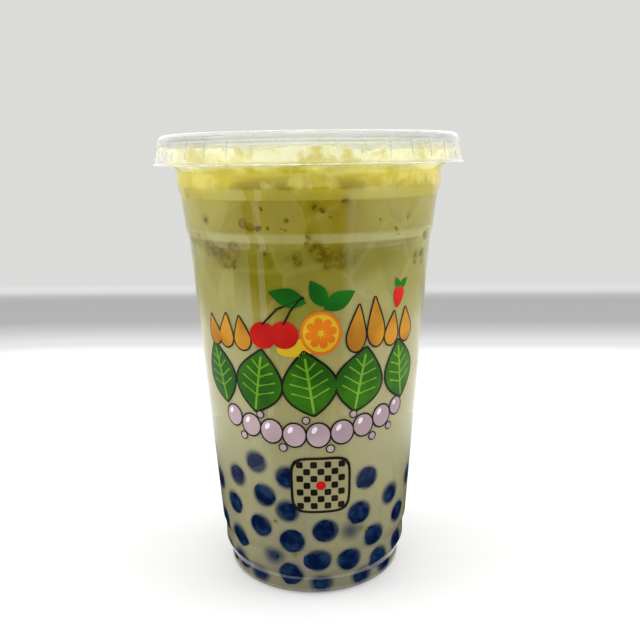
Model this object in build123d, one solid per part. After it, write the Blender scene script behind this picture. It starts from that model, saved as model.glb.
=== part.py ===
from build123d import *
import os
from math import atan2, degrees

# A clear takeaway cup of bubble tea with its flat pressed-on lid. Millimetres, +Z up.
# The origin is on the axis, on the surface that the cup stands on.

# Cup: outside radii and heights of the wall, from the foot up
cup_wall = 0.4
base_rise = 2.0
ring_inside_radius = 25.8
ring_slope = 0.6
foot_radius = 30.6
foot_edge_radius = 2.6
foot_height = 5.6
foot_step_height = 4.2
foot_step_out = 1.7
ring_band_height = 5.4
ring_step_height = 3.2
ring_step_out = 0.95
body_height = 98.8
body_flare = 7.4
shoulder_step_height = 4.0
shoulder_step_out = 1.0
band_height = 10.3
band_flare = 1.2
neck_step_height = 3.6
neck_step_out = 1.05
neck_height = 4.6
neck_flare = 0.15
collar_step_height = 2.3
collar_step_out = 2.5
collar_height = 7.0
step_fillet = 1.4
small_fillet = 0.9
roll_radius = 1.2
roll_turn = 250

# Lid, seated over the rolled rim
lid_wall = 0.45
seat_gap = 0.35
plug_taper = 0.5
panel_depth = 3.7
panel_fillet = 0.9
skirt_depth = 7.0
skirt_flare = 1.2
lip_width = 0.45
rib_count = 40
rib_radius = 0.32
rib_top_margin = 0.5
rib_foot_margin = 1.6
pad_radius = 9.5
pad_rise = 0.8
pad_fillet = 0.6
slot_length = 15.0
slot_width = 0.6

# Drink and the ice that breaks its surface
drink_gap = 0.1
headspace = 2.8
ice_depth = 18.0
ice_edge = 3.0
ice_gap = 0.15
ice_cubes = (
    # width, distance from the axis, bearing, rise of the top over the level, tilt, turn
    (19.0, 27.5, 261.0, 1.1, 4.0, 12.0),
    (20.0, 27.0, 322.0, 1.2, -4.5, 58.0),
    (18.5, 27.5, 24.0, 0.6, 5.0, 20.0),
    (19.5, 27.0, 83.0, 1.0, -3.5, 70.0),
    (18.5, 27.5, 143.0, 0.7, 4.5, 35.0),
    (19.5, 27.0, 203.0, 1.2, -4.0, 15.0),
    (17.5, 1.5, 40.0, 0.8, 3.0, 40.0),
)

collar_radius = (
    foot_radius + foot_step_out + ring_step_out + body_flare + shoulder_step_out
    + band_flare + neck_step_out + neck_flare + collar_step_out
)
wall_stages = (
    # rise, widening and corner radius of each stretch of wall, from the foot to the collar
    (foot_height, 0.0, step_fillet),
    (foot_step_height, foot_step_out, step_fillet),
    (ring_band_height, 0.0, step_fillet),
    (ring_step_height, ring_step_out, step_fillet),
    (body_height, body_flare, step_fillet),
    (shoulder_step_height, shoulder_step_out, step_fillet),
    (band_height, band_flare, step_fillet),
    (neck_step_height, neck_step_out, step_fillet),
    (neck_height, neck_flare, small_fillet),
    (collar_step_height, collar_step_out, small_fillet),
)
collar_foot_z = sum(stage[0] for stage in wall_stages)
roll_z = collar_foot_z + collar_height
roll_inside = roll_radius - cup_wall
roll_centre = collar_radius + roll_inside
bead_radius = roll_radius + seat_gap + lid_wall
lid_top_z = roll_z + bead_radius
panel_z = lid_top_z - panel_depth
drink_level = panel_z - lid_wall - headspace


def wall_line():
    """Outside of the cup from the axis, under the raised base and up to the rolled rim."""
    points = [
        (0, base_rise),
        (ring_inside_radius, base_rise),
        (ring_inside_radius + ring_slope, 0),
        (foot_radius, 0),
    ]
    corners = [small_fillet, small_fillet, foot_edge_radius]
    radius, height = foot_radius, 0
    for rise, widening, corner in wall_stages:
        radius += widening
        height += rise
        points.append((radius, height))
        corners.append(corner)
    points.append((collar_radius, roll_z))
    return FilletPolyline(*points, radius=corners)


def spin(outline):
    """Turns a closed outline of radius and height about the axis."""
    return revolve(Plane.XZ * make_face(outline.edges()), axis=Axis.Z)


def cup():
    """Thin cup with a raised base, stepped wall and a rim rolled outwards."""
    roll = CenterArc((roll_centre, roll_z), roll_inside, 180, -roll_turn)
    outside = Wire([*wall_line().edges(), *roll.edges()])
    return spin(offset(outside, amount=cup_wall, side=Side.LEFT))


def lid_line():
    """Top of the lid from the axis, over the pad, panel and bead, and down the skirt to its lip."""
    pad_z = panel_z + pad_rise
    plug_radius = roll_centre - bead_radius
    plug = FilletPolyline(
        (0, pad_z),
        (pad_radius, pad_z),
        (pad_radius + pad_rise, panel_z),
        (plug_radius - plug_taper, panel_z),
        (plug_radius, roll_z),
        radius=[pad_fillet, pad_fillet, panel_fillet],
    )
    bead = CenterArc((roll_centre, roll_z), bead_radius, 180, -180)
    skirt_radius = roll_centre + bead_radius + skirt_flare
    skirt = FilletPolyline(
        (roll_centre + bead_radius, roll_z),
        (skirt_radius, roll_z - skirt_depth),
        (skirt_radius + lip_width, roll_z - skirt_depth),
        radius=lid_wall,
    )
    return Wire([*plug.edges(), *bead.edges(), *skirt.edges()])


def skirt_rib():
    """One short upright rib, half sunk in the outside of the skirt."""
    lean = degrees(atan2(skirt_flare, skirt_depth))
    length = skirt_depth - rib_top_margin - rib_foot_margin
    middle = (rib_top_margin + length / 2) / skirt_depth
    radius = roll_centre + bead_radius + skirt_flare * middle
    rib = Cylinder(rib_radius, length)
    return Pos(radius, 0, roll_z - skirt_depth * middle) * Rot(0, -lean, 0) * rib


def lid():
    """Flat lid: a plug inside the rim, a bead over it, a ribbed flared skirt and a straw slot."""
    shell = spin(offset(lid_line(), amount=lid_wall, side=Side.RIGHT))
    ribs = PolarLocations(0, rib_count) * skirt_rib()
    slot = Pos(0, 0, panel_z) * Box(slot_length, slot_width, 2 * bead_radius)
    return shell + ribs - slot - Rot(0, 0, 90) * slot


def ice_cube(cube, swell=0.0):
    """One soft-edged cube, floating low; swell makes the pocket it sits in."""
    width, distance, bearing, rise, tilt, turn = cube
    side = width + 2 * swell
    block = Box(side, side, ice_depth + 2 * swell)
    block = fillet(block.edges(), ice_edge + swell)
    centre = Pos(distance, 0, drink_level + rise - ice_depth / 2)
    return Rot(0, 0, bearing) * centre * Rot(tilt, tilt, turn) * block


def drink():
    """The tea up to its level, cut round the ice that breaks the surface."""
    inside = offset(
        wall_line(), amount=cup_wall + drink_gap, side=Side.LEFT, closed=False
    )
    ends = sorted((inside @ 0, inside @ 1), key=lambda point: point.X)
    top = Polyline(ends[1], (0, ends[1].Y), ends[0])
    body = spin(Wire([*inside.edges(), *top.edges()]))
    above = Pos(0, 0, drink_level) * Cylinder(
        collar_radius, lid_top_z, align=(Align.CENTER, Align.CENTER, Align.MIN)
    )
    body -= above
    for cube in ice_cubes:
        body -= ice_cube(cube, ice_gap)
    return body


os.makedirs("parts", exist_ok=True)
export_step(cup(), "parts/cup.step")
export_step(lid(), "parts/lid.step")
export_step(drink(), "parts/drink.step")
for number, cube in enumerate(ice_cubes, 1):
    export_step(ice_cube(cube), f"parts/ice_{number}.step")
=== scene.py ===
import math
import bpy
import numpy as np
from mathutils import Matrix, Vector


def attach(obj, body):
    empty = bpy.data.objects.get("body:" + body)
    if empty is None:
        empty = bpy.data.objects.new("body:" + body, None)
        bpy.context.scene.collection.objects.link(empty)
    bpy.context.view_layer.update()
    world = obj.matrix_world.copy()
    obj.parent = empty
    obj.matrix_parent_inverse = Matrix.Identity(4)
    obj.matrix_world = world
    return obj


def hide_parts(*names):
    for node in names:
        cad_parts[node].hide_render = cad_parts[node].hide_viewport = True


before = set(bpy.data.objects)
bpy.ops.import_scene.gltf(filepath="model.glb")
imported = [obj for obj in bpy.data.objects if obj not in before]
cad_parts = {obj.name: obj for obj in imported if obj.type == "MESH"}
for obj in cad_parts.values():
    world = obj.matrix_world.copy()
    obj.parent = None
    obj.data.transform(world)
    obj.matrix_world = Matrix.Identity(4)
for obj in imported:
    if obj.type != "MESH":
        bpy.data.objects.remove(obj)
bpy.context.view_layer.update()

# Sizes in millimetres, the same as the CAD's; every mesh is written in metres.
MM = 0.001
CUP_SEGMENTS = 256
TEA_SEGMENTS = 360
FROTH_SEGMENTS = 288
CUP_WALL = 0.4
BASE_RISE = 2.0
RING_INSIDE = 25.8
RING_SLOPE = 0.6
FOOT_RADIUS = 30.6
FOOT_EDGE = 2.6
SOFT_CORNER = 1.4
SMALL_CORNER = 0.9
WALL_STAGES = (
    # rise, widening and corner radius of each stretch of wall
    (5.6, 0.0, SOFT_CORNER),
    (4.2, 1.7, SOFT_CORNER),
    (5.4, 0.0, SOFT_CORNER),
    (3.2, 0.95, SOFT_CORNER),
    (98.8, 7.4, SOFT_CORNER),
    (4.0, 1.0, SOFT_CORNER),
    (10.3, 1.2, SOFT_CORNER),
    (3.6, 1.05, SOFT_CORNER),
    (4.6, 0.15, SMALL_CORNER),
    (2.3, 2.5, SMALL_CORNER),
)
COLLAR_RADIUS = FOOT_RADIUS + sum(stage[1] for stage in WALL_STAGES)
COLLAR_HEIGHT = 7.0
ROLL_Z = sum(stage[0] for stage in WALL_STAGES) + COLLAR_HEIGHT
ROLL_RADIUS = 1.2
ROLL_INSIDE = ROLL_RADIUS - CUP_WALL
ROLL_CENTRE = COLLAR_RADIUS + ROLL_INSIDE
ROLL_TURN = 250.0
LID_WALL = 0.45
SEAT_GAP = 0.35
BEAD_RADIUS = ROLL_RADIUS + SEAT_GAP + LID_WALL
BEAD_EDGE = ROLL_CENTRE + BEAD_RADIUS
PLUG_TAPER = 0.5
PANEL_DEPTH = 3.7
PANEL_Z = ROLL_Z + BEAD_RADIUS - PANEL_DEPTH
PAD_RADIUS = 9.5
PAD_RISE = 0.8
PAD_CORNER = 0.6
SLOT_LENGTH = 15.0
SLOT_WIDTH = 0.6
SKIRT_DEPTH = 7.0
SKIRT_FLARE = 1.2
LIP_WIDTH = 0.45
RIB_COUNT = 40
RIB_PITCH = 2 * math.pi / RIB_COUNT
RIB_RADIUS = 0.3
RIB_SPREAD = 0.85
RIB_TOP_MARGIN = 0.4
RIB_FOOT_MARGIN = 1.2
RIB_FADE = 0.8
HEADSPACE = 2.8
LEVEL = PANEL_Z - LID_WALL - HEADSPACE
ICE_DEPTH = 18.0
ICE_EDGE = 3.0
ICE_CUBES = (
    # width, distance from the axis, bearing, rise of the top over the level, tilt, turn
    (19.0, 27.5, 261.0, 1.1, 4.0, 12.0),
    (20.0, 27.0, 322.0, 1.2, -4.5, 58.0),
    (18.5, 27.5, 24.0, 0.6, 5.0, 20.0),
    (19.5, 27.0, 83.0, 1.0, -3.5, 70.0),
    (18.5, 27.5, 143.0, 0.7, 4.5, 35.0),
    (19.5, 27.0, 203.0, 1.2, -4.0, 15.0),
    (17.5, 1.5, 40.0, 0.8, 3.0, 40.0),
)
# How far the tea, and what presses on the wall, reach into the wall, so that no air shows
TEA_BITE = 0.12
PRESS_BITE = 0.22
TEA_TOP = LEVEL - 0.4
FROTH_FOOT = LEVEL - 2.6
FROTH_CEILING = 146.6
BUBBLE_CEILING = 146.7


def paint(red, green, blue):
    """A colour written as on a screen, 0 to 255, as a node's linear colour."""
    screen = [value / 255 for value in (red, green, blue)]
    linear = [v / 12.92 if v <= 0.04045 else ((v + 0.055) / 1.055) ** 2.4 for v in screen]
    return (*linear, 1.0)


def grey(light):
    """A node's colour with no tint."""
    return (light, light, light, 1.0)


class Link:
    """An output of a node. Arithmetic on it adds Math nodes to its tree."""

    def __init__(self, tree, socket):
        self.tree = tree
        self.socket = socket

    def math(self, operation, first, second):
        return self.tree.add("ShaderNodeMath", {"operation": operation}, {0: first, 1: second})

    def __add__(self, other):
        return self.math("ADD", self, other)

    def __radd__(self, other):
        return self.math("ADD", other, self)

    def __sub__(self, other):
        return self.math("SUBTRACT", self, other)

    def __rsub__(self, other):
        return self.math("SUBTRACT", other, self)

    def __mul__(self, other):
        return self.math("MULTIPLY", self, other)

    def __rmul__(self, other):
        return self.math("MULTIPLY", other, self)

    def __pow__(self, other):
        return self.math("POWER", self, other)

    def over(self, low, high):
        """0 below low, 1 above high, and smooth in between."""
        return self.tree.add(
            "ShaderNodeMapRange",
            {"interpolation_type": "SMOOTHSTEP"},
            {"Value": self, "From Min": low, "From Max": high, "To Min": 0.0, "To Max": 1.0},
        )

    def most(self, other):
        return self.math("MAXIMUM", self, other)


class Tree:
    """A node tree that is built by adding nodes."""

    def __init__(self, nodes):
        self.nodes = nodes

    def add(self, kind, settings=None, inputs=None, out=0):
        """Adds a node. Its settings come first, then the values or links of its sockets."""
        node = self.nodes.nodes.new(kind)
        for key, value in (settings or {}).items():
            if key == "stops":
                fill_ramp(node.color_ramp, value)
            else:
                setattr(node, key, value)
        for key, value in (inputs or {}).items():
            if isinstance(value, Link):
                self.nodes.links.new(value.socket, node.inputs[key])
            else:
                node.inputs[key].default_value = value
        return Link(self, node.outputs[out]) if node.outputs else None

    def mix(self, share, first, second):
        """Mixes two colours."""
        return self.add("ShaderNodeMix", {"data_type": "RGBA"}, {0: share, 6: first, 7: second}, 2)

    def layered(self, colour, layers):
        """A colour with others laid over it; each layer is a share and a screen colour."""
        for share, over in layers:
            colour = self.mix(share, colour, paint(*over))
        return colour

    def ray(self, kind):
        """1 for rays of one kind, such as Camera or Glossy."""
        return self.add("ShaderNodeLightPath", None, None, f"Is {kind} Ray")

    def shade(self, name):
        """A value that the piece's points carry."""
        return self.add("ShaderNodeAttribute", {"attribute_name": name}, None, "Fac")

    def place(self, scale=(1.0, 1.0, 1.0)):
        """Object coordinates, stretched by scale."""
        spot = self.add("ShaderNodeTexCoord", None, None, "Object")
        return self.add("ShaderNodeMapping", None, {"Vector": spot, "Scale": scale})

    def axis(self, name):
        """One Object coordinate, in millimetres."""
        spot = self.add("ShaderNodeTexCoord", None, None, "Object")
        return self.add("ShaderNodeSeparateXYZ", None, {0: spot}, name) * 1000.0

    def noise(self, scale, detail=3.0, stretch=(1.0, 1.0, 1.0), rough=0.5):
        """Noise from 0 to 1; scale is in features for each metre."""
        values = {"Vector": self.place(stretch), "Scale": scale, "Detail": detail}
        values["Roughness"] = rough
        return self.add("ShaderNodeTexNoise", None, values)

    def bump(self, height, strength, distance):
        """A normal raised by height, distance in metres."""
        return self.add(
            "ShaderNodeBump", None, {"Strength": strength, "Distance": distance, "Height": height}
        )


def fill_ramp(ramp, stops):
    """Sets a colour ramp's stops, each a position and a colour."""
    while len(ramp.elements) > 1:
        ramp.elements.remove(ramp.elements[-1])
    ramp.elements[0].position = stops[0][0]
    ramp.elements[0].color = stops[0][1]
    for position, colour in stops[1:]:
        ramp.elements.new(position).color = colour


def new_look(name):
    """A material with an empty tree."""
    material = bpy.data.materials.new(name)
    material.use_nodes = True
    material.node_tree.nodes.clear()
    return material, Tree(material.node_tree)


def finish_look(material, tree, shader):
    """Sends a shader to the material's output."""
    tree.add("ShaderNodeOutputMaterial", None, {"Surface": shader})
    return material


def solid_look(name, build):
    """An opaque material; build takes the tree and returns the Principled shader's inputs."""
    material, tree = new_look(name)
    return finish_look(material, tree, tree.add("ShaderNodeBsdfPrincipled", None, build(tree)))


def ramp_of(tree, value, stops):
    """A colour ramp whose stops are positions and screen colours."""
    stops = [(position, paint(*colour)) for position, colour in stops]
    return tree.add("ShaderNodeValToRGB", {"stops": stops}, {0: value})


# ---------------------------------------------------------------- materials


def clear_plastic(name, tint, waviness, scale, bend, straight):
    """Clear moulded plastic, a little wavy. Lamps light what is behind it.

    bend is its index of refraction, and straight the share of light that passes unbent.
    """
    material, tree = new_look(name)
    cloud = tree.noise(scale * 0.4, 2.0).over(0.35, 0.75)
    base = tree.mix(cloud, paint(255, 255, 255), paint(*tint))
    waves = tree.noise(scale, 2.0, (1.0, 1.0, 0.35))
    plastic = tree.add(
        "ShaderNodeBsdfPrincipled",
        None,
        {
            "Base Color": base,
            "Roughness": 0.02,
            "IOR": bend,
            "Transmission Weight": 1.0,
            "Normal": tree.bump(waves, waviness, 0.0004),
        },
    )
    gap = tree.add("ShaderNodeBsdfTransparent", None, {"Color": grey(0.99)})
    passing = tree.ray("Shadow").most(tree.ray("Diffuse")).most(straight)
    mixed = tree.add("ShaderNodeMixShader", None, {0: passing, 1: plastic, 2: gap})
    return finish_look(material, tree, mixed)


def bearing_of(tree):
    """The bearing from the front, in degrees, of a point round the cup."""
    across = tree.axis("X")
    back = 0.0 - tree.axis("Y")
    return tree.add("ShaderNodeMath", {"operation": "ARCTAN2"}, {0: across, 1: back}) * (180 / math.pi)


def from_nearest(tree, bearing, first, step):
    """Degrees from the nearest of the bearings first, first + step, first + 2 * step and so on."""
    return tree.add("ShaderNodeMath", {"operation": "PINGPONG"}, {0: bearing - first, 1: step / 2})


RAMP_HEIGHT = 146.0
TEA_RAMP = (
    # share of the ramp's height in millimetres, and the tea's colour there; darker towards the foot as
    # painted shade, and pale at the top for the froth, partly as a painted glow
    (0.0, (112, 108, 92)),
    (0.055, (122, 118, 98)),
    (0.12, (128, 124, 100)),
    (0.20, (136, 133, 105)),
    (0.30, (145, 142, 108)),
    (0.40, (150, 146, 105)),
    (0.52, (151, 145, 94)),
    (0.66, (145, 138, 70)),
    (0.78, (142, 136, 58)),
    (0.84, (143, 134, 48)),
    (0.90, (156, 144, 44)),
    (0.93, (178, 161, 34)),
    (0.95, (206, 188, 40)),
    (0.967, (244, 234, 122)),
    (1.0, (252, 247, 160)),
)


def tea_colour(tree):
    """Milk tea: cream low down, darker at the foot as painted shade, olive and gold among the ice with
    painted shade between the cubes, painted highlights at the wall's steps, and pale where it froths,
    partly as a painted glow.
    """
    drift = tree.noise(38.0, 3.0, (1.0, 1.0, 0.55)) - 0.5
    rise = tree.axis("Z")
    bearing = bearing_of(tree) + drift * 14.0
    body = ramp_of(tree, (rise + drift * 7.0) * (1 / RAMP_HEIGHT), TEA_RAMP)
    swirl = tree.noise(75.0, 4.0, (1.0, 1.0, 0.7), 0.55).over(0.42, 0.72)

    # painted shade: dark wedges and streaks between the cubes that press on the wall
    wedge = rise + drift * 9.0
    below = 1.0 - rise.over(118.0, 122.0)
    broad = from_nearest(tree, bearing, -4.0, 180.0)
    narrow = from_nearest(tree, bearing, -4.0, 45.0)
    painted_shade_streak = (1.0 - from_nearest(tree, bearing, -23.0, 120.0).over(3.0, 6.0)) * rise.over(97.0, 101.0)
    painted_shade_under_ice = (wedge - broad * 0.42).over(92.0, 99.0) * (1.0 - rise.over(118.0, 124.0))
    painted_shade_beside_ice = (wedge - narrow * 1.3).over(99.0, 104.0) * below
    gold = (1.0 - from_nearest(tree, bearing, -6.0, 120.0).over(20.0, 32.0)) * rise.over(115.0, 121.0)

    # flat facets and their seams among the ice
    among = rise.over(96.0, 104.0) * (1.0 - rise.over(130.0, 134.0))
    cells = {"Vector": tree.place((1.0, 1.0, 0.8)), "Scale": 58.0}
    facet = tree.add("ShaderNodeTexVoronoi", None, cells, "Color")
    tone = tree.add("ShaderNodeSeparateColor", None, {0: facet})
    seam = tree.add("ShaderNodeTexVoronoi", {"feature": "DISTANCE_TO_EDGE"}, cells)

    # froth in the collar, and painted highlights: the pale lines where the wall steps
    clump = tree.noise(70.0, 3.0, (1.0, 1.0, 1.2), 0.6)
    deep = rise.over(132.0, 137.0) * (1.0 - clump.over(0.46, 0.58)) * (1.0 - rise.over(139.0, 142.0) * 0.7)
    mottle = rise.over(132.0, 136.0) * tree.noise(110.0, 3.0, (1.0, 1.0, 0.8), 0.6).over(0.48, 0.62)
    low_step_highlight = rise.over(118.8, 119.6) * (1.0 - rise.over(121.4, 122.4))
    high_step_highlight = rise.over(131.4, 132.0) * (1.0 - rise.over(134.0, 135.4))
    grain = tree.noise(260.0, 3.0, (1.0, 1.0, 0.22), 0.6)
    layers = (
        (swirl * 0.16, (178, 172, 112)),
        # painted shade between the cubes
        (painted_shade_streak * below * 0.5, (142, 122, 34)),
        (painted_shade_under_ice * 0.9, (120, 112, 8)),
        (painted_shade_beside_ice * 0.42, (112, 104, 22)),
        (gold * (1.0 - rise.over(134.0, 140.0)) * 0.9, (138, 122, 0)),
        (among * tone.over(0.5, 0.9) * 0.2, (104, 96, 20)),
        (among * (1.0 - tone.over(0.1, 0.5)) * 0.08, (196, 190, 120)),
        (among * (1.0 - seam.over(0.0, 0.06)) * 0.07, (206, 200, 128)),
        (rise.over(138.0, 142.5) * clump.over(0.43, 0.56), (255, 249, 146)),
        (deep * 0.85, (202, 185, 48)),
        (mottle * 0.4, (234, 222, 128)),
        # painted highlights where the wall steps
        (low_step_highlight * 0.8, (164, 158, 94)),
        (high_step_highlight * 0.55, (186, 173, 68)),
        (grain.over(0.5, 0.75) * 0.14, (92, 84, 44)),
    )
    return tree.layered(body, layers)


def tea_inputs(tree):
    """The tea, with what shows through it from just behind."""
    grain = tree.noise(900.0, 2.0)
    behind = (
        (tree.shade("ice_shade") * 0.05, (206, 202, 150)),
        (tree.shade("speck_shade") * 0.62, (100, 88, 14)),
        (tree.shade("pearl_shade"), (16, 36, 62)),
    )
    return {
        "Base Color": tree.layered(tea_colour(tree), behind),
        "Roughness": 0.42 + grain * 0.1,
        "Normal": tree.bump(grain, 0.15, 0.0003),
        "IOR": 1.34,
        "Specular IOR Level": 0.0,
    }


def froth_inputs(tree):
    """Icy froth: pale yellow, brighter on its lumps."""
    lumps = tree.noise(150.0, 4.0, rough=0.65)
    fine = tree.noise(900.0, 3.0)
    colour = tree.mix(lumps.over(0.37, 0.56), paint(226, 212, 100), paint(255, 252, 200))
    inner = tree.mix(lumps.over(0.35, 0.62), paint(196, 182, 62), paint(220, 212, 134))
    reach = (tree.axis("X") ** 2.0 + tree.axis("Y") ** 2.0) ** 0.5
    colour = tree.mix(reach.over(37.0, 43.0), inner, colour)
    colour = tree.mix(fine.over(0.5, 0.75) * 0.25, colour, paint(250, 246, 206))
    return {
        "Base Color": colour,
        "Roughness": 0.3 + fine * 0.2,
        "Normal": tree.bump(fine + lumps * 2.0, 0.35, 0.0008),
        "IOR": 1.34,
    }


def bubble_inputs(tree):
    """Wet bubbles on the froth."""
    film = tree.noise(400.0, 2.0)
    colour = tree.mix(film.over(0.4, 0.65), paint(232, 223, 140), paint(248, 244, 198))
    return {
        "Base Color": colour,
        "Roughness": 0.06 + film * 0.06,
        "IOR": 1.33,
        "Transmission Weight": 0.12,
    }


def ice_inputs(tree):
    """Wet ice, cloudy inside and clearer at its edges."""
    cloud = tree.noise(160.0, 4.0, rough=0.6)
    crack = tree.add(
        "ShaderNodeTexVoronoi",
        {"feature": "DISTANCE_TO_EDGE"},
        {"Vector": tree.place(), "Scale": 170.0},
    )
    colour = tree.mix(cloud.over(0.3, 0.7), paint(224, 220, 168), paint(240, 238, 204))
    cracked = (1.0 - crack.over(0.0, 0.03)) * cloud.over(0.45, 0.6)
    colour = tree.mix(cracked * 0.6, colour, paint(252, 252, 240))
    return {
        "Base Color": colour,
        "Roughness": 0.12,
        "IOR": 1.31,
        "Transmission Weight": 0.2,
        "Coat Weight": 0.6,
        "Coat Roughness": 0.05,
        "Normal": tree.bump(cloud, 0.3, 0.0006),
    }


def sunk_ice_inputs(tree):
    """Ice pressed on the wall under the tea, a shade paler than the tea before it."""
    cloud = tree.noise(90.0, 3.0, (1.0, 1.0, 0.5))
    fine = tree.noise(500.0, 2.0)
    pale = 0.02 + cloud.over(0.35, 0.65) * 0.06
    colour = tree.mix(pale, tea_colour(tree), paint(206, 202, 150))
    colour = tree.mix(fine.over(0.55, 0.8) * 0.1, colour, paint(176, 168, 100))
    return {
        "Base Color": colour,
        "Roughness": 0.25 + fine * 0.15,
        "IOR": 1.31,
        "Specular IOR Level": 0.0,
    }


def pearl_inputs(tree):
    """Tapioca pearls: dark blue-brown, a little cloudy and paler in patches."""
    patch = tree.noise(210.0, 3.0, rough=0.6)
    fine = tree.noise(1300.0, 2.0)
    colour = tree.mix(patch.over(0.4, 0.72), paint(4, 18, 50), paint(28, 50, 80))
    colour = tree.mix(fine.over(0.6, 0.8) * 0.15, colour, paint(70, 72, 76))
    return {
        "Base Color": colour,
        "Roughness": 0.3 + fine * 0.2,
        "Normal": tree.bump(patch, 0.25, 0.0006),
        "IOR": 1.4,
        "Specular IOR Level": 0.0,
    }


def speck_inputs(tree):
    """Bits of fruit and leaf: olive brown, darker at the heart."""
    patch = tree.noise(420.0, 3.0)
    colour = tree.mix(patch.over(0.35, 0.65), paint(92, 80, 8), paint(126, 112, 32))
    return {
        "Base Color": colour,
        "Roughness": 0.45 + patch * 0.2,
        "IOR": 1.4,
        "Specular IOR Level": 0.0,
    }


def ink_look(name, deep, light):
    """Screen-printed ink: a soft change of tone and a faint grain."""

    def inputs(tree):
        tone = tree.noise(60.0, 2.0).over(0.35, 0.65)
        grain = tree.noise(2400.0, 2.0)
        colour = tree.mix(tone, paint(*deep), paint(*light))
        colour = tree.mix(grain.over(0.55, 0.8) * 0.05, colour, paint(200, 195, 150))
        return {
            "Base Color": colour,
            "Roughness": 0.36 + grain * 0.12,
            "Normal": tree.bump(grain, 0.1, 0.0001),
            "Specular IOR Level": 0.15,
        }

    return solid_look(name, inputs)


CLEAR_CUP = clear_plastic(
    "clear_cup", (248, 252, 246), waviness=0.05, scale=60.0, bend=1.57, straight=0.0
)
CLEAR_LID = clear_plastic(
    "clear_lid", (252, 253, 248), waviness=0.2, scale=260.0, bend=1.42, straight=0.25
)
TEA = solid_look("milk_tea", tea_inputs)
FROTH = solid_look("icy_froth", froth_inputs)
BUBBLE = solid_look("froth_bubble", bubble_inputs)
ICE = solid_look("ice", ice_inputs)
SUNK_ICE_LOOK = solid_look("sunk_ice", sunk_ice_inputs)
PEARL = solid_look("tapioca_pearl", pearl_inputs)
SPECK = solid_look("fruit_speck", speck_inputs)
INK_AMBER = ink_look("ink_amber", (150, 94, 8), (188, 132, 32))
INK_ORANGE = ink_look("ink_orange", (202, 98, 2), (220, 128, 16))
INK_RED = ink_look("ink_red", (170, 3, 2), (192, 22, 8))
INK_GREEN = ink_look("ink_green", (26, 78, 0), (46, 104, 2))
INK_LILAC = ink_look("ink_lilac", (156, 134, 142), (174, 153, 158))
INK_DARK = ink_look("ink_dark", (16, 13, 12), (34, 27, 20))
INK_LEAF_VEIN = ink_look("ink_leaf_vein", (92, 142, 20), (114, 158, 40))
INK_SHINE = ink_look("ink_shine", (224, 212, 216), (234, 226, 228))
INK_LEAF = ink_look("ink_leaf_deep", (2, 78, 4), (16, 104, 10))
INK_YELLOW = ink_look("ink_yellow", (196, 160, 20), (214, 180, 44))
INK_BADGE = ink_look("ink_badge_ground", (140, 134, 96), (150, 144, 104))


# ---------------------------------------------------------------- shapes


def rounded_line(points, radii, step=3.0, edge=0.15):
    """A line with rounded corners: its points, and its normals on the right-hand side."""
    points = [np.array(point, float) for point in points]
    spots = []
    normals = []

    def straight(start, end):
        length = np.linalg.norm(end - start)
        along = (end - start) / max(length, 1e-9)
        inner = []
        if length > 3 * edge:
            inner = np.linspace(edge, length - edge, 2 + int(length / step))
        for distance in (0.0, *inner, length):
            spots.append(start + along * distance)
            normals.append((along[1], -along[0]))

    start = points[0]
    for before, corner, after, radius in zip(points, points[1:], points[2:], radii):
        first = (corner - before) / np.linalg.norm(corner - before)
        second = (after - corner) / np.linalg.norm(after - corner)
        cross = first[0] * second[1] - first[1] * second[0]
        turn = math.atan2(cross, float(first @ second))
        back = radius * math.tan(abs(turn) / 2)
        side = math.copysign(1.0, turn)
        straight(start, corner - first * back)
        left = np.array((-first[1], first[0]))
        centre = corner - first * back + left * side * radius
        count = max(3, math.ceil(abs(turn) / 0.16))
        heading = math.atan2(first[1], first[0])
        for number in range(1, count):
            angle = heading + turn * number / count
            normal = np.array((math.sin(angle), -math.cos(angle)))
            spots.append(centre + normal * side * radius)
            normals.append(normal)
        start = corner + second * back
    straight(start, points[-1])
    return np.array(spots), np.array(normals)


def arc(centre, radius, first, last, count):
    """Points and outward normals round part of a circle, angles in degrees."""
    angles = np.radians(np.linspace(first, last, count))
    normals = np.stack((np.cos(angles), np.sin(angles)), 1)
    return np.array(centre) + normals * radius, normals


def mesh_of(name, points, faces=(), unit=MM):
    """A mesh from points in millimetres, or in another unit given in metres."""
    mesh = bpy.data.meshes.new(name)
    mesh.from_pydata((np.asarray(points) * unit).tolist(), [], faces)
    return mesh


def in_scene(name, data):
    """An object for a mesh, a lamp or a camera, put in the scene."""
    thing = bpy.data.objects.new(name, data)
    bpy.context.scene.collection.objects.link(thing)
    return thing


def on_root(name, mesh):
    """A finished mesh as a piece that rides on the part's one body."""
    piece = in_scene(name, mesh)
    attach(piece, "root")
    return piece


def make_piece(name, points, faces, material, smooth=True, cutters=()):
    """A piece from points in millimetres, with boxes cut out of it if any are given."""
    mesh = mesh_of(name, points, faces)
    mesh.materials.append(material)
    mesh.polygons.foreach_set("use_smooth", [smooth] * len(mesh.polygons))
    mesh.update()
    if cutters:
        mesh = slotted(mesh, cutters)
    return on_root(name, mesh)


def evaluated_copy(thing):
    """A plain mesh of an object with its modifiers applied."""
    graph = bpy.context.evaluated_depsgraph_get()
    graph.update()
    return bpy.data.meshes.new_from_object(thing.evaluated_get(graph), depsgraph=graph)


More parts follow.
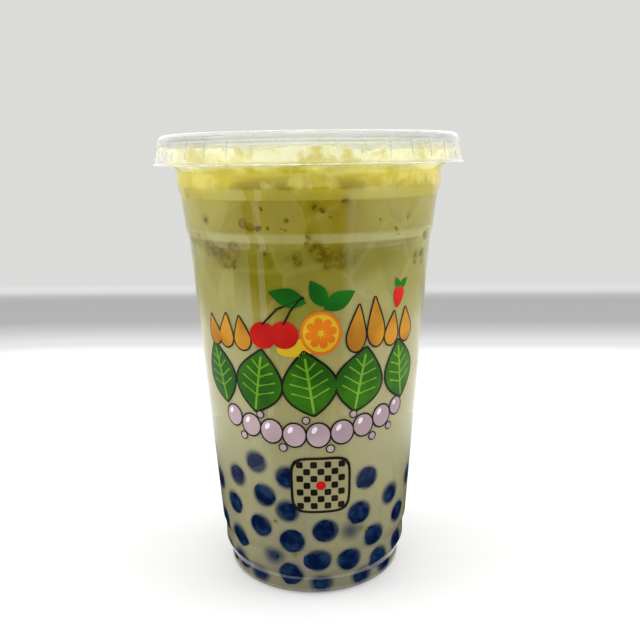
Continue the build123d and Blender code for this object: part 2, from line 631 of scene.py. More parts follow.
def slotted(mesh, cutters):
    """A mesh with boxes cut out of it; each box is its middle and its size."""
    whole = in_scene("uncut", mesh)
    boxes = []
    for middle, size in cutters:
        corners = np.array([(x, y, z) for x in (-0.5, 0.5) for y in (-0.5, 0.5) for z in (-0.5, 0.5)])
        sides = [(0, 1, 3, 2), (4, 6, 7, 5), (0, 4, 5, 1), (2, 3, 7, 6), (0, 2, 6, 4), (1, 5, 7, 3)]
        boxes.append(in_scene("cutter", mesh_of("cutter", corners * size + middle, sides)))
        modifier = whole.modifiers.new("cut", "BOOLEAN")
        modifier.operation = "DIFFERENCE"
        modifier.solver = "EXACT"
        modifier.object = boxes[-1]
    result = evaluated_copy(whole)
    for holder in (whole, *boxes):
        bpy.data.objects.remove(holder)
    result.set_sharp_from_angle(angle=math.radians(50))
    return result


def loop_faces(rows, count, closed=True):
    """Quads between rows of count points, each row a closed loop or an open line."""
    columns = np.arange(count if closed else count - 1)
    row, column = np.meshgrid(np.arange(rows - 1), columns, indexing="ij")
    beside = (column + 1) % count
    corners = (row * count + column, row * count + beside)
    corners = (*corners, (row + 1) * count + beside, (row + 1) * count + column)
    return np.stack(corners, -1).reshape(-1, 4).tolist()


def skin(rows, first_pole, last_pole):
    """Points and faces of a closed skin over rows of loops, with a pole at each end."""
    rows = np.asarray(rows)
    total, count = rows.shape[:2]
    points = np.concatenate((rows.reshape(-1, 3), (first_pole, last_pole)))
    faces = loop_faces(total, count)
    low = total * count
    last = (total - 1) * count
    for j in range(count):
        k = (j + 1) % count
        faces.append((low, k, j))
        faces.append((low + 1, last + j, last + k))
    if signed_volume(points, faces) < 0:
        faces = [face[::-1] for face in faces]
    return points, faces


def signed_volume(points, faces):
    """Six times the volume inside closed faces; negative if they point inwards."""
    total = 0.0
    for size in (3, 4):
        group = np.array([face for face in faces if len(face) == size])
        if len(group):
            corners = points[group]
            for k in range(1, size - 1):
                across = np.cross(corners[:, k], corners[:, k + 1])
                total += float((corners[:, 0] * across).sum())
    return total


def outward(angles):
    """Flat directions from the axis at each angle; 0 is the front."""
    return np.stack((np.sin(angles), -np.cos(angles)), 1)


def spun(line, angles):
    """Rows of points from a line of radius and height, turned to each angle."""
    line = np.asarray(line)
    rows = np.empty((len(line), len(angles), 3))
    rows[:, :, :2] = line[:, None, :1] * outward(angles)[None]
    rows[:, :, 2] = line[:, None, 1]
    return rows


def even_angles(count):
    """Angles spread evenly round a full turn."""
    return np.arange(count) * (2 * math.pi / count)


def spin_closed(name, line, count, material):
    """A closed piece turned from a line that starts and ends on the axis."""
    rows = spun(line[1:-1], even_angles(count))
    poles = [(0.0, 0.0, line[0][1]), (0.0, 0.0, line[-1][1])]
    points, faces = skin(rows, *poles)
    return make_piece(name, points, faces, material)


# ---------------------------------------------------------------- cup


wall_points = [(0, BASE_RISE), (RING_INSIDE, BASE_RISE), (RING_INSIDE + RING_SLOPE, 0)]
wall_points.append((FOOT_RADIUS, 0))
wall_corners = [SMALL_CORNER, SMALL_CORNER, FOOT_EDGE]
radius, height = FOOT_RADIUS, 0.0
for rise, widening, corner in WALL_STAGES:
    radius += widening
    height += rise
    wall_points.append((radius, height))
    wall_corners.append(corner)
wall_points.append((COLLAR_RADIUS, ROLL_Z))
wall_line, wall_normals = rounded_line(wall_points, wall_corners)


def inside_wall(bite):
    """The line that lies bite millimetres into the wall from its inside."""
    return wall_line - wall_normals * (CUP_WALL - bite)


def upright(line):
    """The part of a wall line above the foot, as heights and radii for np.interp."""
    rising = line[np.argmax(line[:, 0] > FOOT_RADIUS - 1.0):]
    rising = rising[np.argsort(rising[:, 1])]
    return rising[:, 1], rising[:, 0]


roll_line, roll_normals = arc((ROLL_CENTRE, ROLL_Z), ROLL_INSIDE, 180, 180 - ROLL_TURN, 26)
outside = np.concatenate((wall_line, roll_line[1:]))
inward = np.concatenate((-wall_normals, roll_normals[1:]))
cup_line = np.concatenate((outside, (outside + inward * CUP_WALL)[::-1]))
cup_wall = spin_closed("cup_wall", cup_line, CUP_SEGMENTS, CLEAR_CUP)
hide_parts("cup")


# ---------------------------------------------------------------- lid


def lid_top_line():
    """The lid's upper face from the axis over pad, panel and bead, then down the skirt."""
    plug = ROLL_CENTRE - BEAD_RADIUS
    pad_z = PANEL_Z + PAD_RISE
    plug_points = [(0, pad_z), (PAD_RADIUS, pad_z), (PAD_RADIUS + PAD_RISE, PANEL_Z)]
    plug_points += [(plug - PLUG_TAPER, PANEL_Z), (plug, ROLL_Z)]
    well, well_side = rounded_line(plug_points, [PAD_CORNER, PAD_CORNER, SMALL_CORNER])
    bead, bead_side = arc((ROLL_CENTRE, ROLL_Z), BEAD_RADIUS, 180, 0, 22)
    foot = ROLL_Z - SKIRT_DEPTH
    skirt_points = [(BEAD_EDGE, ROLL_Z), (BEAD_EDGE + SKIRT_FLARE, foot)]
    skirt_points.append((BEAD_EDGE + SKIRT_FLARE + LIP_WIDTH, foot))
    skirt, skirt_side = rounded_line(skirt_points, [LID_WALL], 0.6)
    line = np.concatenate((well, bead[1:-1], skirt))
    side = np.concatenate((-well_side, bead_side[1:-1], -skirt_side))
    return line, side


def rib_profile(angles):
    """How far each angle of the skirt stands out: a round rib at each pitch, flat between."""
    reach = BEAD_EDGE + SKIRT_FLARE / 2
    across = ((angles + RIB_PITCH / 2) % RIB_PITCH - RIB_PITCH / 2) * reach
    swell = 0.5 + 0.5 * np.cos(np.clip(across / RIB_SPREAD, -1, 1) * math.pi)
    return swell * RIB_RADIUS


lid_line, lid_side = lid_top_line()
# Millimetres from a rib's middle to each line of the mesh, close together on the rib
BEATS = np.array((-0.85, -0.7, -0.52, -0.35, -0.17, 0.0, 0.17, 0.35, 0.52, 0.7, 0.85, 2.7, 4.9))
BEAT_RADIUS = 50.4
lid_angles = np.concatenate([number * RIB_PITCH + BEATS / BEAT_RADIUS for number in range(RIB_COUNT)])
lid_angles = np.sort(lid_angles % (2 * math.pi))
stand = rib_profile(lid_angles)
below_roll = ROLL_Z - lid_line[:, 1]
above_foot = SKIRT_DEPTH - RIB_FOOT_MARGIN - below_roll
fade = np.clip((below_roll - RIB_TOP_MARGIN) / RIB_FADE, 0, 1) * np.clip(above_foot / RIB_FADE, 0, 1)
fade *= lid_line[:, 0] > ROLL_CENTRE + 1.0


def lid_rows(depth):
    """Rows of the lid at a depth below its upper face."""
    line = lid_line - lid_side * depth
    rows = spun(line, lid_angles)
    push = fade[:, None] * stand[None]
    rows[:, :, :2] += (push * lid_side[:, None, 0])[:, :, None] * outward(lid_angles)[None]
    rows[:, :, 2] += push * lid_side[:, None, 1]
    return rows


upper = lid_rows(0.0)
under = lid_rows(LID_WALL)[::-1]
poles = [(0.0, 0.0, lid_line[0, 1]), (0.0, 0.0, lid_line[0, 1] - LID_WALL)]
lid_points, lid_faces = skin(np.concatenate((upper[1:], under[:-1])), *poles)
slot_sizes = ((SLOT_LENGTH, SLOT_WIDTH, 6.0), (SLOT_WIDTH, SLOT_LENGTH, 6.0))
slots = [((0, 0, PANEL_Z), size) for size in slot_sizes]
lid_shell = make_piece("lid_shell", lid_points, lid_faces, CLEAR_LID, True, slots)
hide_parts("lid")


# ---------------------------------------------------------------- pearls


tea_line = inside_wall(TEA_BITE)
tea_heights, tea_radii = upright(tea_line)
press_heights, press_radii = upright(inside_wall(PRESS_BITE))
PEARL_RADIUS = 4.8
WALL_PEARL_GAP = 9.3
FLOOR_PEARL_GAP = 9.6
FRONT_PEARLS = (
    # bearing from the front, height, depth of the middle behind the wall
    (-32, 48, 3.6), (-47, 41, 3.7), (-28, 36.5, 3.2), (-70, 35, 3.4), (-52, 30, 3.5),
    (-32, 25, 3.2), (-51, 18, 3.6), (-13, 21, 2.9), (6, 25, 2.8), (29.5, 42, 3.4),
    (48, 33, 3.6), (25.5, 30, 3.0), (20.5, 24.0, 5.0), (36.5, 20, 3.4), (58, 24, 3.6),
    (72, 35, 3.6), (2, 14, 2.8), (20.5, 13, 3.0), (42, 10, 3.4), (-15, 8.5, 3.0),
    (-38, 5.6, 3.9), (4, 4.8, 3.9), (-53, 8.4, 3.6), (-14, 44, 3.4), (4.5, 37, 2.9),
    (12, 40, 3.3), (-15, 32, 3.6), (62, 12, 3.4), (-70, 20, 3.5), (-68, 8, 3.6),
    (31, 5.0, 3.9), (52, 5.4, 3.8), (-25, 14.5, 4.6),
)


def wall_spot(bearing, height, depth):
    """A point that lies depth behind the face of the tea; the bearing is from the front."""
    reach = np.interp(height, tea_heights, tea_radii) - depth
    angle = math.radians(bearing)
    return (reach * math.sin(angle), -reach * math.cos(angle), height)


rng = np.random.default_rng(11)
pearl_spots = [wall_spot(*pearl) for pearl in FRONT_PEARLS]
for attempt in range(2600):
    bearing = rng.uniform(76, 284)
    height = 5.5 + 44 * rng.random() ** 1.25
    spot = wall_spot(bearing, height, rng.uniform(2.9, 3.9))
    if min(math.dist(spot, other) for other in pearl_spots) > WALL_PEARL_GAP:
        pearl_spots.append(spot)
for attempt in range(400):
    angle = rng.uniform(0, 2 * math.pi)
    reach = 25 * math.sqrt(rng.random())
    spot = (reach * math.cos(angle), reach * math.sin(angle), BASE_RISE + CUP_WALL + 3.4)
    if min(math.dist(spot, other) for other in pearl_spots) > FLOOR_PEARL_GAP:
        pearl_spots.append(spot)
pearl_spots = np.array(pearl_spots)


def geometry_tree(name, inputs):
    """A Geometry Nodes tree with a geometry in, named inputs and a geometry out."""
    nodes = bpy.data.node_groups.new(name, "GeometryNodeTree")
    face = nodes.interface
    face.new_socket(name="Geometry", in_out="INPUT", socket_type="NodeSocketGeometry")
    for label, kind in inputs:
        face.new_socket(name=label, in_out="INPUT", socket_type=kind)
    face.new_socket(name="Geometry", in_out="OUTPUT", socket_type="NodeSocketGeometry")
    tree = Tree(nodes)
    entry = nodes.nodes.new("NodeGroupInput")
    named = {socket.name: Link(tree, socket) for socket in entry.outputs if socket.name}
    return tree, named


def random_vector(tree, low, high, seed):
    """A vector between two others, picked anew for each point."""
    return tree.add(
        "FunctionNodeRandomValue",
        {"data_type": "FLOAT_VECTOR"},
        {"Seed": seed, 0: low, 1: high},
    )


def any_turn(tree, seed):
    """A turn about every axis, picked anew for each point."""
    return random_vector(tree, (0.0, 0.0, 0.0), (6.283, 6.283, 6.283), seed)


def carried(tree, name):
    """A value that the points carry."""
    return tree.add(
        "GeometryNodeInputNamedAttribute", {"data_type": "FLOAT"}, {"Name": name}, "Attribute"
    )


def pushed_about(tree, geometry, scale, reach):
    """Moves every point by noise, so that no two lumps are alike."""
    spot = tree.add("GeometryNodeInputPosition")
    values = {"Vector": spot, "Scale": scale, "Detail": 1.0}
    rough = tree.add("ShaderNodeTexNoise", None, values, 1)
    middle = tree.add(
        "ShaderNodeVectorMath", {"operation": "SUBTRACT"}, {0: rough, 1: (0.5, 0.5, 0.5)}
    )
    push = tree.add("ShaderNodeVectorMath", {"operation": "SCALE"}, {0: middle, "Scale": reach})
    return tree.add("GeometryNodeSetPosition", None, {"Geometry": geometry, "Offset": push})


def planted(tree, given, points, placing, push=None):
    """Ends a tree: a shape is set on every point, made real, pushed about and painted."""
    placed = tree.add("GeometryNodeInstanceOnPoints", None, {"Points": points, **placing})
    whole = tree.add("GeometryNodeRealizeInstances", None, {0: placed})
    if push:
        whole = pushed_about(tree, whole, *push)
    painted = tree.add("GeometryNodeSetMaterial", None, {0: whole, "Material": given["Material"]})
    tree.add("NodeGroupOutput", None, {"Geometry": painted})
    return tree.nodes


def grown(name, carrier, nodes, values, material, shape):
    """A piece from the plain mesh that a Geometry Nodes tree grows on a carrier mesh.

    shape takes the grown points, in millimetres, and returns where they end up.
    """
    seed = in_scene(name + "_carrier", carrier)
    modifier = seed.modifiers.new("grow", "NODES")
    modifier.node_group = nodes
    values = {**values, "Material": material}
    for item in nodes.interface.items_tree:
        if item.item_type == "SOCKET" and item.in_out == "INPUT" and item.name in values:
            modifier[item.identifier] = values[item.name]
    mesh = evaluated_copy(seed)
    mesh.name = name
    bpy.data.objects.remove(seed)
    points = np.empty(len(mesh.vertices) * 3)
    mesh.vertices.foreach_get("co", points)
    points = shape(points.reshape(-1, 3) / MM) * MM
    mesh.vertices.foreach_set("co", points.ravel())
    mesh.materials.clear()
    mesh.materials.append(material)
    mesh.polygons.foreach_set("use_smooth", [True] * len(mesh.polygons))
    mesh.update()
    on_root(name, mesh)


def lumps_tree(name):
    """Soft round lumps, one on each point, each of its own size and turn."""
    labels = (
        ("Radius", "NodeSocketFloat"),
        ("Least", "NodeSocketFloat"),
        ("Most", "NodeSocketFloat"),
        ("Seed", "NodeSocketInt"),
        ("Material", "NodeSocketMaterial"),
    )
    tree, given = geometry_tree(name, labels)
    values = {"Segments": 32, "Rings": 16, "Radius": given["Radius"]}
    ball = tree.add("GeometryNodeMeshUVSphere", None, values)
    least, most = (
        tree.add("ShaderNodeCombineXYZ", None, {axis: given[label] for axis in range(3)})
        for label in ("Least", "Most")
    )
    size = random_vector(tree, least, most, given["Seed"])
    turn = any_turn(tree, given["Seed"] + 1)
    placing = {"Instance": ball, "Rotation": turn, "Scale": size}
    return planted(tree, given, given["Geometry"], placing, (170.0, 0.0030))


def flecks_tree(name):
    """Torn flecks, one on each point, long and flat, scaled by the point's size."""
    labels = (
        ("Radius", "NodeSocketFloat"),
        ("Seed", "NodeSocketInt"),
        ("Material", "NodeSocketMaterial"),
    )
    tree, given = geometry_tree(name, labels)
    values = {"Radius": given["Radius"], "Subdivisions": 4}
    ball = tree.add("GeometryNodeMeshIcoSphere", None, values)
    shape = random_vector(tree, (0.5, 0.6, 0.9), (0.9, 1.2, 1.9), given["Seed"])
    values = {0: shape, "Scale": carried(tree, "size")}
    scaled = tree.add("ShaderNodeVectorMath", {"operation": "SCALE"}, values)
    turn = any_turn(tree, given["Seed"] + 1)
    placing = {"Instance": ball, "Rotation": turn, "Scale": scaled}
    return planted(tree, given, given["Geometry"], placing, (420.0, 0.0012))


def pressed(points, further=0.0):
    """Points that would pass the wall or the base are drawn back into them."""
    reach = np.hypot(points[:, 0], points[:, 1])
    limit = np.interp(points[:, 2], press_heights, press_radii) + further
    scale = np.where(reach > limit, limit / np.maximum(reach, 1e-6), 1.0)
    points[:, :2] *= scale[:, None]
    points[:, 2] = np.maximum(points[:, 2], BASE_RISE + CUP_WALL - PRESS_BITE)
    return points


def give_points(mesh, name, values):
    """Gives each point of a mesh a value."""
    layer = mesh.attributes.new(name, "FLOAT", "POINT")
    layer.data.foreach_set("value", values)


grown(
    "pearls",
    mesh_of("pearl_spots", pearl_spots),
    lumps_tree("soft_lumps"),
    {"Radius": PEARL_RADIUS * MM, "Least": 0.93, "Most": 1.05, "Seed": 4},
    PEARL,
    pressed,
)


# ---------------------------------------------------------------- tea


def spaced(line, spacing):
    """A line with its points set again at a spacing that depends on the height."""
    runs = np.hypot(*np.diff(line, axis=0).T)
    along = np.concatenate(([0.0], np.cumsum(runs)))
    spots = [0.0]
    while spots[-1] < along[-1]:
        here = np.interp(spots[-1], along, line[:, 1])
        spots.append(min(spots[-1] + spacing(here), along[-1]))
    return np.stack([np.interp(spots, along, line[:, k]) for k in (0, 1)], 1)


PEARL_HEIGHT = 52.0
foot_start = int(np.argmax(tea_line[:, 0] > RING_INSIDE - 1.5))
floor_part = tea_line[:foot_start]
side_part = tea_line[foot_start:]
side_part = side_part[side_part[:, 1] < TEA_TOP]
side_part = spaced(side_part, lambda height: 0.6 if height < PEARL_HEIGHT else 1.1)
side_top = (np.interp(TEA_TOP, tea_heights, tea_radii), TEA_TOP)
lid_of_tea = [(side_top[0] * share, TEA_TOP) for share in (0.97, 0.8, 0.6, 0.4, 0.2)]
tea_outline = np.concatenate((floor_part, side_part, [side_top], lid_of_tea))
tea_rows = spun(tea_outline[1:], even_angles(TEA_SEGMENTS))
tea_points, tea_faces = skin(tea_rows, (0, 0, tea_outline[0, 1]), (0, 0, TEA_TOP))
tea_body = make_piece("tea_body", tea_points, tea_faces, TEA)
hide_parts("drink")


def pearl_shade(points):
    """How dark each point of the tea is for the pearls just behind it."""
    shade = np.zeros(len(points))
    low = points[:, 2] < 60
    some = points[low]
    found = np.zeros(len(some))
    for spot in pearl_spots:
        far = np.hypot(spot[0], spot[1])
        if far < 24:
            continue
        out = np.array((spot[0] / far, spot[1] / far, 0.0))
        gap = some - spot
        depth = gap @ out
        aside = np.sqrt(np.maximum((gap**2).sum(1) - depth**2, 0))
        thick = depth - np.sqrt(np.maximum(PEARL_RADIUS**2 - aside**2, 0))
        soft = np.clip((PEARL_RADIUS + 0.5 - aside) / 1.2, 0, 1)
        dark = np.exp(-0.75 * np.maximum(thick, 0)) * soft
        found = np.maximum(found, np.where(depth > 0, dark, 0))
    shade[low] = found
    return shade


def speck_shade(points):
    """How dark each point of the tea is for the specks close to it."""
    shade = np.zeros(len(points))
    for spot, size in zip(speck_spots, speck_sizes):
        near = np.abs(points[:, 2] - spot[2]) < size * 1.6 + 3
        gap = np.linalg.norm(points[near] - spot, axis=1)
        core = size * 0.7
        shade[near] = np.maximum(shade[near], 1 - np.clip((gap - core) / (core + 1), 0, 1))
    return shade


give_points(tea_body.data, "pearl_shade", pearl_shade(tea_points) * 0.92)


# ---------------------------------------------------------------- froth and ice


def soft_block(width, depth, edge, cells):
    """A block with soft edges as a grid of points over a cube, and its faces."""
    half = np.array((width / 2, width / 2, depth / 2))
    steps = np.linspace(-1, 1, cells + 1)
    index = {}
    points = []
    faces = []

    def corner(spot):
        key = tuple(np.round(spot, 5))
        if key not in index:
            index[key] = len(points)
            at = np.array(spot) * half
            core = np.clip(at, -(half - edge), half - edge)
            away = at - core
            length = np.linalg.norm(away)
            points.append(core + away * (edge / length) if length > 1e-6 else at)
        return index[key]

    for axis in range(3):
        for side in (-1.0, 1.0):
            for a in range(cells):
                for b in range(cells):
                    quad = []
                    for i, j in ((a, b), (a + 1, b), (a + 1, b + 1), (a, b + 1)):
                        spot = [0.0, 0.0, 0.0]
                        spot[axis] = side
                        spot[(axis + 1) % 3] = steps[i]
                        spot[(axis + 2) % 3] = steps[j]
                        quad.append(corner(spot))
                    faces.append(tuple(quad) if side > 0 else tuple(quad[::-1]))
    return np.array(points), faces


def turn_about(axis, degrees):
    """A turn about an axis, as an array."""
    return np.array(Matrix.Rotation(math.radians(degrees), 3, axis))


def ice_block(cube):
    """One floating cube where the CAD has it."""
    width, distance, bearing, rise, tilt, turn = cube
    points, faces = soft_block(width, ICE_DEPTH, ICE_EDGE, 12)
    own = turn_about("X", tilt) @ turn_about("Y", tilt) @ turn_about("Z", turn)
    points = points @ own.T + (distance, 0, LEVEL + rise - ICE_DEPTH / 2)
    return points @ turn_about("Z", bearing).T, faces


for number, cube in enumerate(ICE_CUBES, 1):
    points, faces = ice_block(cube)
    block = make_piece(f"ice_cube_{number}", points, faces, ICE)
    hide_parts(f"ice_{number}")


# The turns that bring a cube's corner to the front
CORNER_SPIN = -45.0
CORNER_LEAN = math.degrees(math.atan(math.sqrt(0.5)))
SUNK_EDGE = 2.0
SUNK_TOP = LEVEL - 3.0
SUNK_ICE = [
    # bearing from the front, height, side, depth of the middle, corner first, turn
    (-45, 106, 22, 11.6, True, 0), (45, 105, 21, 11.0, True, 4), (-18, 127, 21, 10.0, False, 8),
    (8, 125, 20, 12.4, True, 112), (31, 127, 20, 9.7, False, -12), (-66, 127, 21, 12.6, True, 108),
    (66, 126, 20, 9.8, False, 20), (-5, 101, 22, 13.6, True, 10), (20, 103, 21, 11.6, False, 30),
    (-78, 104, 21, 12.4, True, 6), (80, 105, 22, 12.8, True, 114), (-43, 128, 19, 10.2, False, -30),
    (-24, 108, 18, 11.0, False, 44),
]
dice = np.random.default_rng(5)
for number in range(16):
    bearing = 98 + 11 * number
    height = (106, 127)[number % 2] + dice.uniform(-4, 4)
    corner = dice.random() < 0.6
    depth = dice.uniform(11.4, 13.2) if corner else dice.uniform(9.8, 11.2)
    side = dice.uniform(19, 22)
    SUNK_ICE.append((bearing, height, side, depth, corner, dice.uniform(0, 90)))


def sunk_frame(cube):
    """Where a sunk cube's middle is, and the turn that its own axes have."""
    bearing, height, side, depth, corner, turn = cube
    middle = np.array(wall_spot(bearing, height, depth))
    aim = turn_about("Z", bearing - 90) @ turn_about("X", turn)
    if corner:
        aim = aim @ turn_about("Y", CORNER_LEAN) @ turn_about("Z", CORNER_SPIN)
    return middle, aim


def ice_shade(points):
    """How much ice each point of the tea has just behind it."""
    shade = np.zeros(len(points))
    high = points[:, 2] > 80
    some = points[high]
    found = np.zeros(len(some))
    for cube in SUNK_ICE:
        middle, aim = sunk_frame(cube)
        own = np.abs((some - middle) @ aim) - (cube[2] / 2 - SUNK_EDGE)
        gap = np.linalg.norm(np.maximum(own, 0), axis=1) + np.minimum(own.max(1), 0) - SUNK_EDGE
        found = np.maximum(found, np.exp(-0.55 * np.maximum(gap, 0)))
    shade[high] = found
    return shade


give_points(tea_body.data, "ice_shade", ice_shade(tea_points) * 0.75)
sunk_points = []
sunk_faces = []
for cube in SUNK_ICE:
    middle, aim = sunk_frame(cube)
    points, faces = soft_block(cube[2], cube[2], SUNK_EDGE, 22)
    start = sum(len(group) for group in sunk_points)
    points = pressed(points @ aim.T + middle, -0.07)
    points[:, 2] = np.minimum(points[:, 2], SUNK_TOP)
    sunk_points.append(points)
    sunk_faces += [tuple(index + start for index in face) for face in faces]
sunk_points = np.concatenate(sunk_points)
make_piece("sunk_ice", sunk_points, sunk_faces, SUNK_ICE_LOOK, smooth=False)

FRONT_SPECKS = (
    # bearing from the front, height, depth, size
    (-64, 129.5, 0.4, 0.5), (-49, 125.5, 0.4, 1), (-51, 122.5, 0.5, 0.5), (-57, 120.4, 0.5, 0.5),
    (-28, 125, 0.4, 1.6), (-24.5, 124, 0.5, 1.5), (-21, 123.4, 0.6, 1.2), (-19, 129.5, 0.5, 0.9),
    (-21, 128.6, 0.6, 0.7), (-9.5, 125.6, 0.5, 1), (-11, 123.2, 0.5, 0.9), (-13, 122.4, 0.6, 0.6),
    (2, 129.8, 0.4, 0.8), (5, 128.6, 0.4, 0.8), (8, 127, 0.4, 0.7), (10.5, 126, 0.5, 0.5),
    (14, 131.4, 0.5, 0.8), (-1, 121.5, 0.8, 1), (29.5, 125.8, 0.5, 0.6), (38, 122.6, 0.5, 1.1),
    (39.5, 120.5, 0.6, 0.9), (45, 126, 0.5, 0.7), (-66, 116.7, 0.4, 0.9), (-66.5, 114.2, 0.5, 0.8),
    (-51, 117.2, 0.8, 1.8), (-46, 116.6, 0.6, 2.1), (-41, 115.6, 0.5, 2.4), (-37, 114.2, 0.5, 2.2),
    (-34, 116.6, 0.7, 2), (-39, 112.2, 0.7, 1.8), (-35, 111.6, 0.6, 1.1), (-19, 115.8, 0.7, 1),
    (-17, 113.4, 0.8, 0.8), (-6, 115.8, 0.4, 1), (-5.4, 113.8, 0.5, 0.9), (-9, 114.8, 0.7, 0.6),
    (2, 117.7, 0.5, 1.9), (5, 116, 0.4, 2.2), (8.5, 114.4, 0.4, 2.4), (12, 113.8, 0.5, 2),
    (7, 112.6, 0.6, 1.1), (13, 116.6, 0.6, 1.3), (18, 113.8, 0.6, 1.2), (55, 113.5, 0.5, 1),
    (55, 111.2, 0.6, 0.9), (-2, 119.2, 0.5, 0.6), (-24, 92, 1, 0.6), (-22, 27.6, 0.4, 0.4),
    (27, 24, 0.3, 0.5), (31, 22.8, 0.4, 0.5), (-12, 15.6, 0.3, 0.4), (-17, 123.8, 0.6, 0.9),
)
speck_spots = [wall_spot(*speck[:3]) for speck in FRONT_SPECKS]
speck_sizes = [speck[3] for speck in FRONT_SPECKS]
for number in range(90):
    bearing = dice.uniform(62, 298)
    height = 109 + 25 * dice.random() if number < 72 else dice.uniform(15, 105)
    speck_spots.append(wall_spot(bearing, height, dice.uniform(0.4, 1.2)))
    speck_sizes.append(0.4 + 1.4 * dice.random() ** 2)
give_points(tea_body.data, "speck_shade", speck_shade(tea_points))
speck_dots = mesh_of("speck_spots", speck_spots)
give_points(speck_dots, "size", speck_sizes)
grown(
    "fruit_specks",
    speck_dots,
    flecks_tree("torn_flecks"),
    {"Radius": 1.0 * MM, "Seed": 9},
    SPECK,
    lambda points: pressed(points, 0.06),
)


BROAD_LUMPS = 90
WALL_LUMPS = 150
FROTH_RIM = 145.0


def froth_height(across, along):
    """The height of the froth at each place: lumps between the cubes, and up at the wall."""
    reach = np.hypot(across, along)
    bearing = np.arctan2(along, across)
    wall = np.clip((reach - 36.0) / 9.0, 0, 1) ** 2
    waves = 0.5 + 0.5 * np.sin(bearing * 5 + 0.7) * np.sin(bearing * 3 + 2.0)
    height = LEVEL + 0.15 + wall * (0.9 + 1.2 * waves)
    noise = np.random.default_rng(23)
    for lump in range(BROAD_LUMPS + WALL_LUMPS):
        broad = lump < BROAD_LUMPS
        angle = noise.uniform(0, 2 * math.pi)
        far = 45 * math.sqrt(noise.random()) if broad else noise.uniform(37, 46)
        size = noise.uniform(2.5, 6.0) if broad else noise.uniform(1.1, 2.8)
        tall = noise.uniform(0.2, 0.75) if broad else noise.uniform(-0.9, 1.1)
        gap = (across - far * math.cos(angle)) ** 2 + (along - far * math.sin(angle)) ** 2
        height = height + tall * np.exp(-gap / size**2)
    for width, distance, turn_to, rise, tilt, turn in ICE_CUBES:
        angle = math.radians(turn_to)
        u = across - distance * math.cos(angle)
        v = along - distance * math.sin(angle)
        spin = angle + math.radians(turn)
        a = np.abs(u * math.cos(spin) + v * math.sin(spin))
        b = np.abs(v * math.cos(spin) - u * math.sin(spin))
        inside = np.clip((width / 2 - 0.8 - np.maximum(a, b)) / 2.0, 0, 1)
        height = height * (1 - inside) + (LEVEL + 0.1) * inside
    return np.minimum(height, FROTH_CEILING)


froth_angles = even_angles(FROTH_SEGMENTS)
froth_reach = np.linspace(0.02, 1.0, 56)
rim_radius = np.interp(FROTH_RIM, tea_heights, tea_radii)
froth_rows = []
for share in froth_reach:
    flat = outward(froth_angles) * rim_radius * share
    froth_rows.append(np.column_stack((flat, froth_height(flat[:, 0], flat[:, 1]))))
edge_heights = froth_rows[-1][:, 2]
for share in np.linspace(0, 1, 9)[1:]:
    tall = edge_heights * (1 - share) + FROTH_FOOT * share
    reach = np.interp(tall, tea_heights, tea_radii) + 0.03
    froth_rows.append(np.column_stack((outward(froth_angles) * reach[:, None], tall)))
foot_ring = froth_rows[-1]
for share in (0.8, 0.5, 0.125):
    froth_rows.append(foot_ring * (share, share, 1))
froth_rows = np.array(froth_rows)
top_pole = (0, 0, float(froth_rows[0][:, 2].mean()))
froth_points, froth_faces = skin(froth_rows, top_pole, (0, 0, FROTH_FOOT))
make_piece("froth_top", froth_points, froth_faces, FROTH)


def bubbles_tree(name):
    """Round bubbles strewn over a surface, thicker where its crowd attribute is high."""
    labels = (
        ("Radius", "NodeSocketFloat"),
        ("Density", "NodeSocketFloat"),
        ("Seed", "NodeSocketInt"),
        ("Material", "NodeSocketMaterial"),
    )
    tree, given = geometry_tree(name, labels)
    density = carried(tree, "crowd") * given["Density"]
    values = {"Mesh": given["Geometry"], "Density": density, "Seed": given["Seed"]}
    strewn = tree.add("GeometryNodeDistributePointsOnFaces", None, values)
    values = {"Radius": given["Radius"], "Subdivisions": 3}
    ball = tree.add("GeometryNodeMeshIcoSphere", None, values)
    share = tree.add("FunctionNodeRandomValue", None, {"Seed": given["Seed"] + 1}, 1)
    size = 0.22 + 0.78 * share**2.5
    return planted(tree, given, strewn, {"Instance": ball, "Scale": size})


def kept_under(points):
    """Bubbles stay under the lid and inside the wall."""
    points = pressed(points)
    points[:, 2] = np.minimum(points[:, 2], BUBBLE_CEILING)
    return points


top_rows = froth_rows[:len(froth_reach)]
bed_faces = loop_faces(len(froth_reach), len(froth_angles))
bubble_bed = mesh_of("bubble_bed", top_rows.reshape(-1, 3), bed_faces)
crowd = np.repeat(0.25 + 0.75 * np.clip((froth_reach - 0.5) / 0.4, 0, 1), len(froth_angles))
give_points(bubble_bed, "crowd", crowd)
grown(
    "froth_bubbles",
    bubble_bed,
    bubbles_tree("strewn_bubbles"),
    {"Radius": 1.2 * MM, "Density": 110000.0, "Seed": 3},
    BUBBLE,
    kept_under,
)


# ---------------------------------------------------------------- print


out_heights, out_radii = upright(wall_line)
# How far the plates of ink stand out of the wall, and how deep their backs lie in it
BACK, FRONT, TOP = 0.03, 0.07, 0.11
PRINT_FOOT = -0.02
OUTLINE_POINTS = 40


def turned_flat(line, turn):
    """A flat line turned by some degrees."""
    angle = math.radians(turn)
    cos, sin = math.cos(angle), math.sin(angle)
    return np.asarray(line, float) @ np.array(((cos, sin), (-sin, cos)))


def on_wall(across, up, bearing, height, lift):
    """Places flat drawings, in millimetres across and up, on the outside of the wall."""
    tall = height + up
    middle = np.interp(height, out_heights, out_radii)
    angle = math.radians(bearing) + across / middle
    reach = np.interp(tall, out_heights, out_radii) + lift
    return np.stack((reach * np.sin(angle), -reach * np.cos(angle), tall), -1)


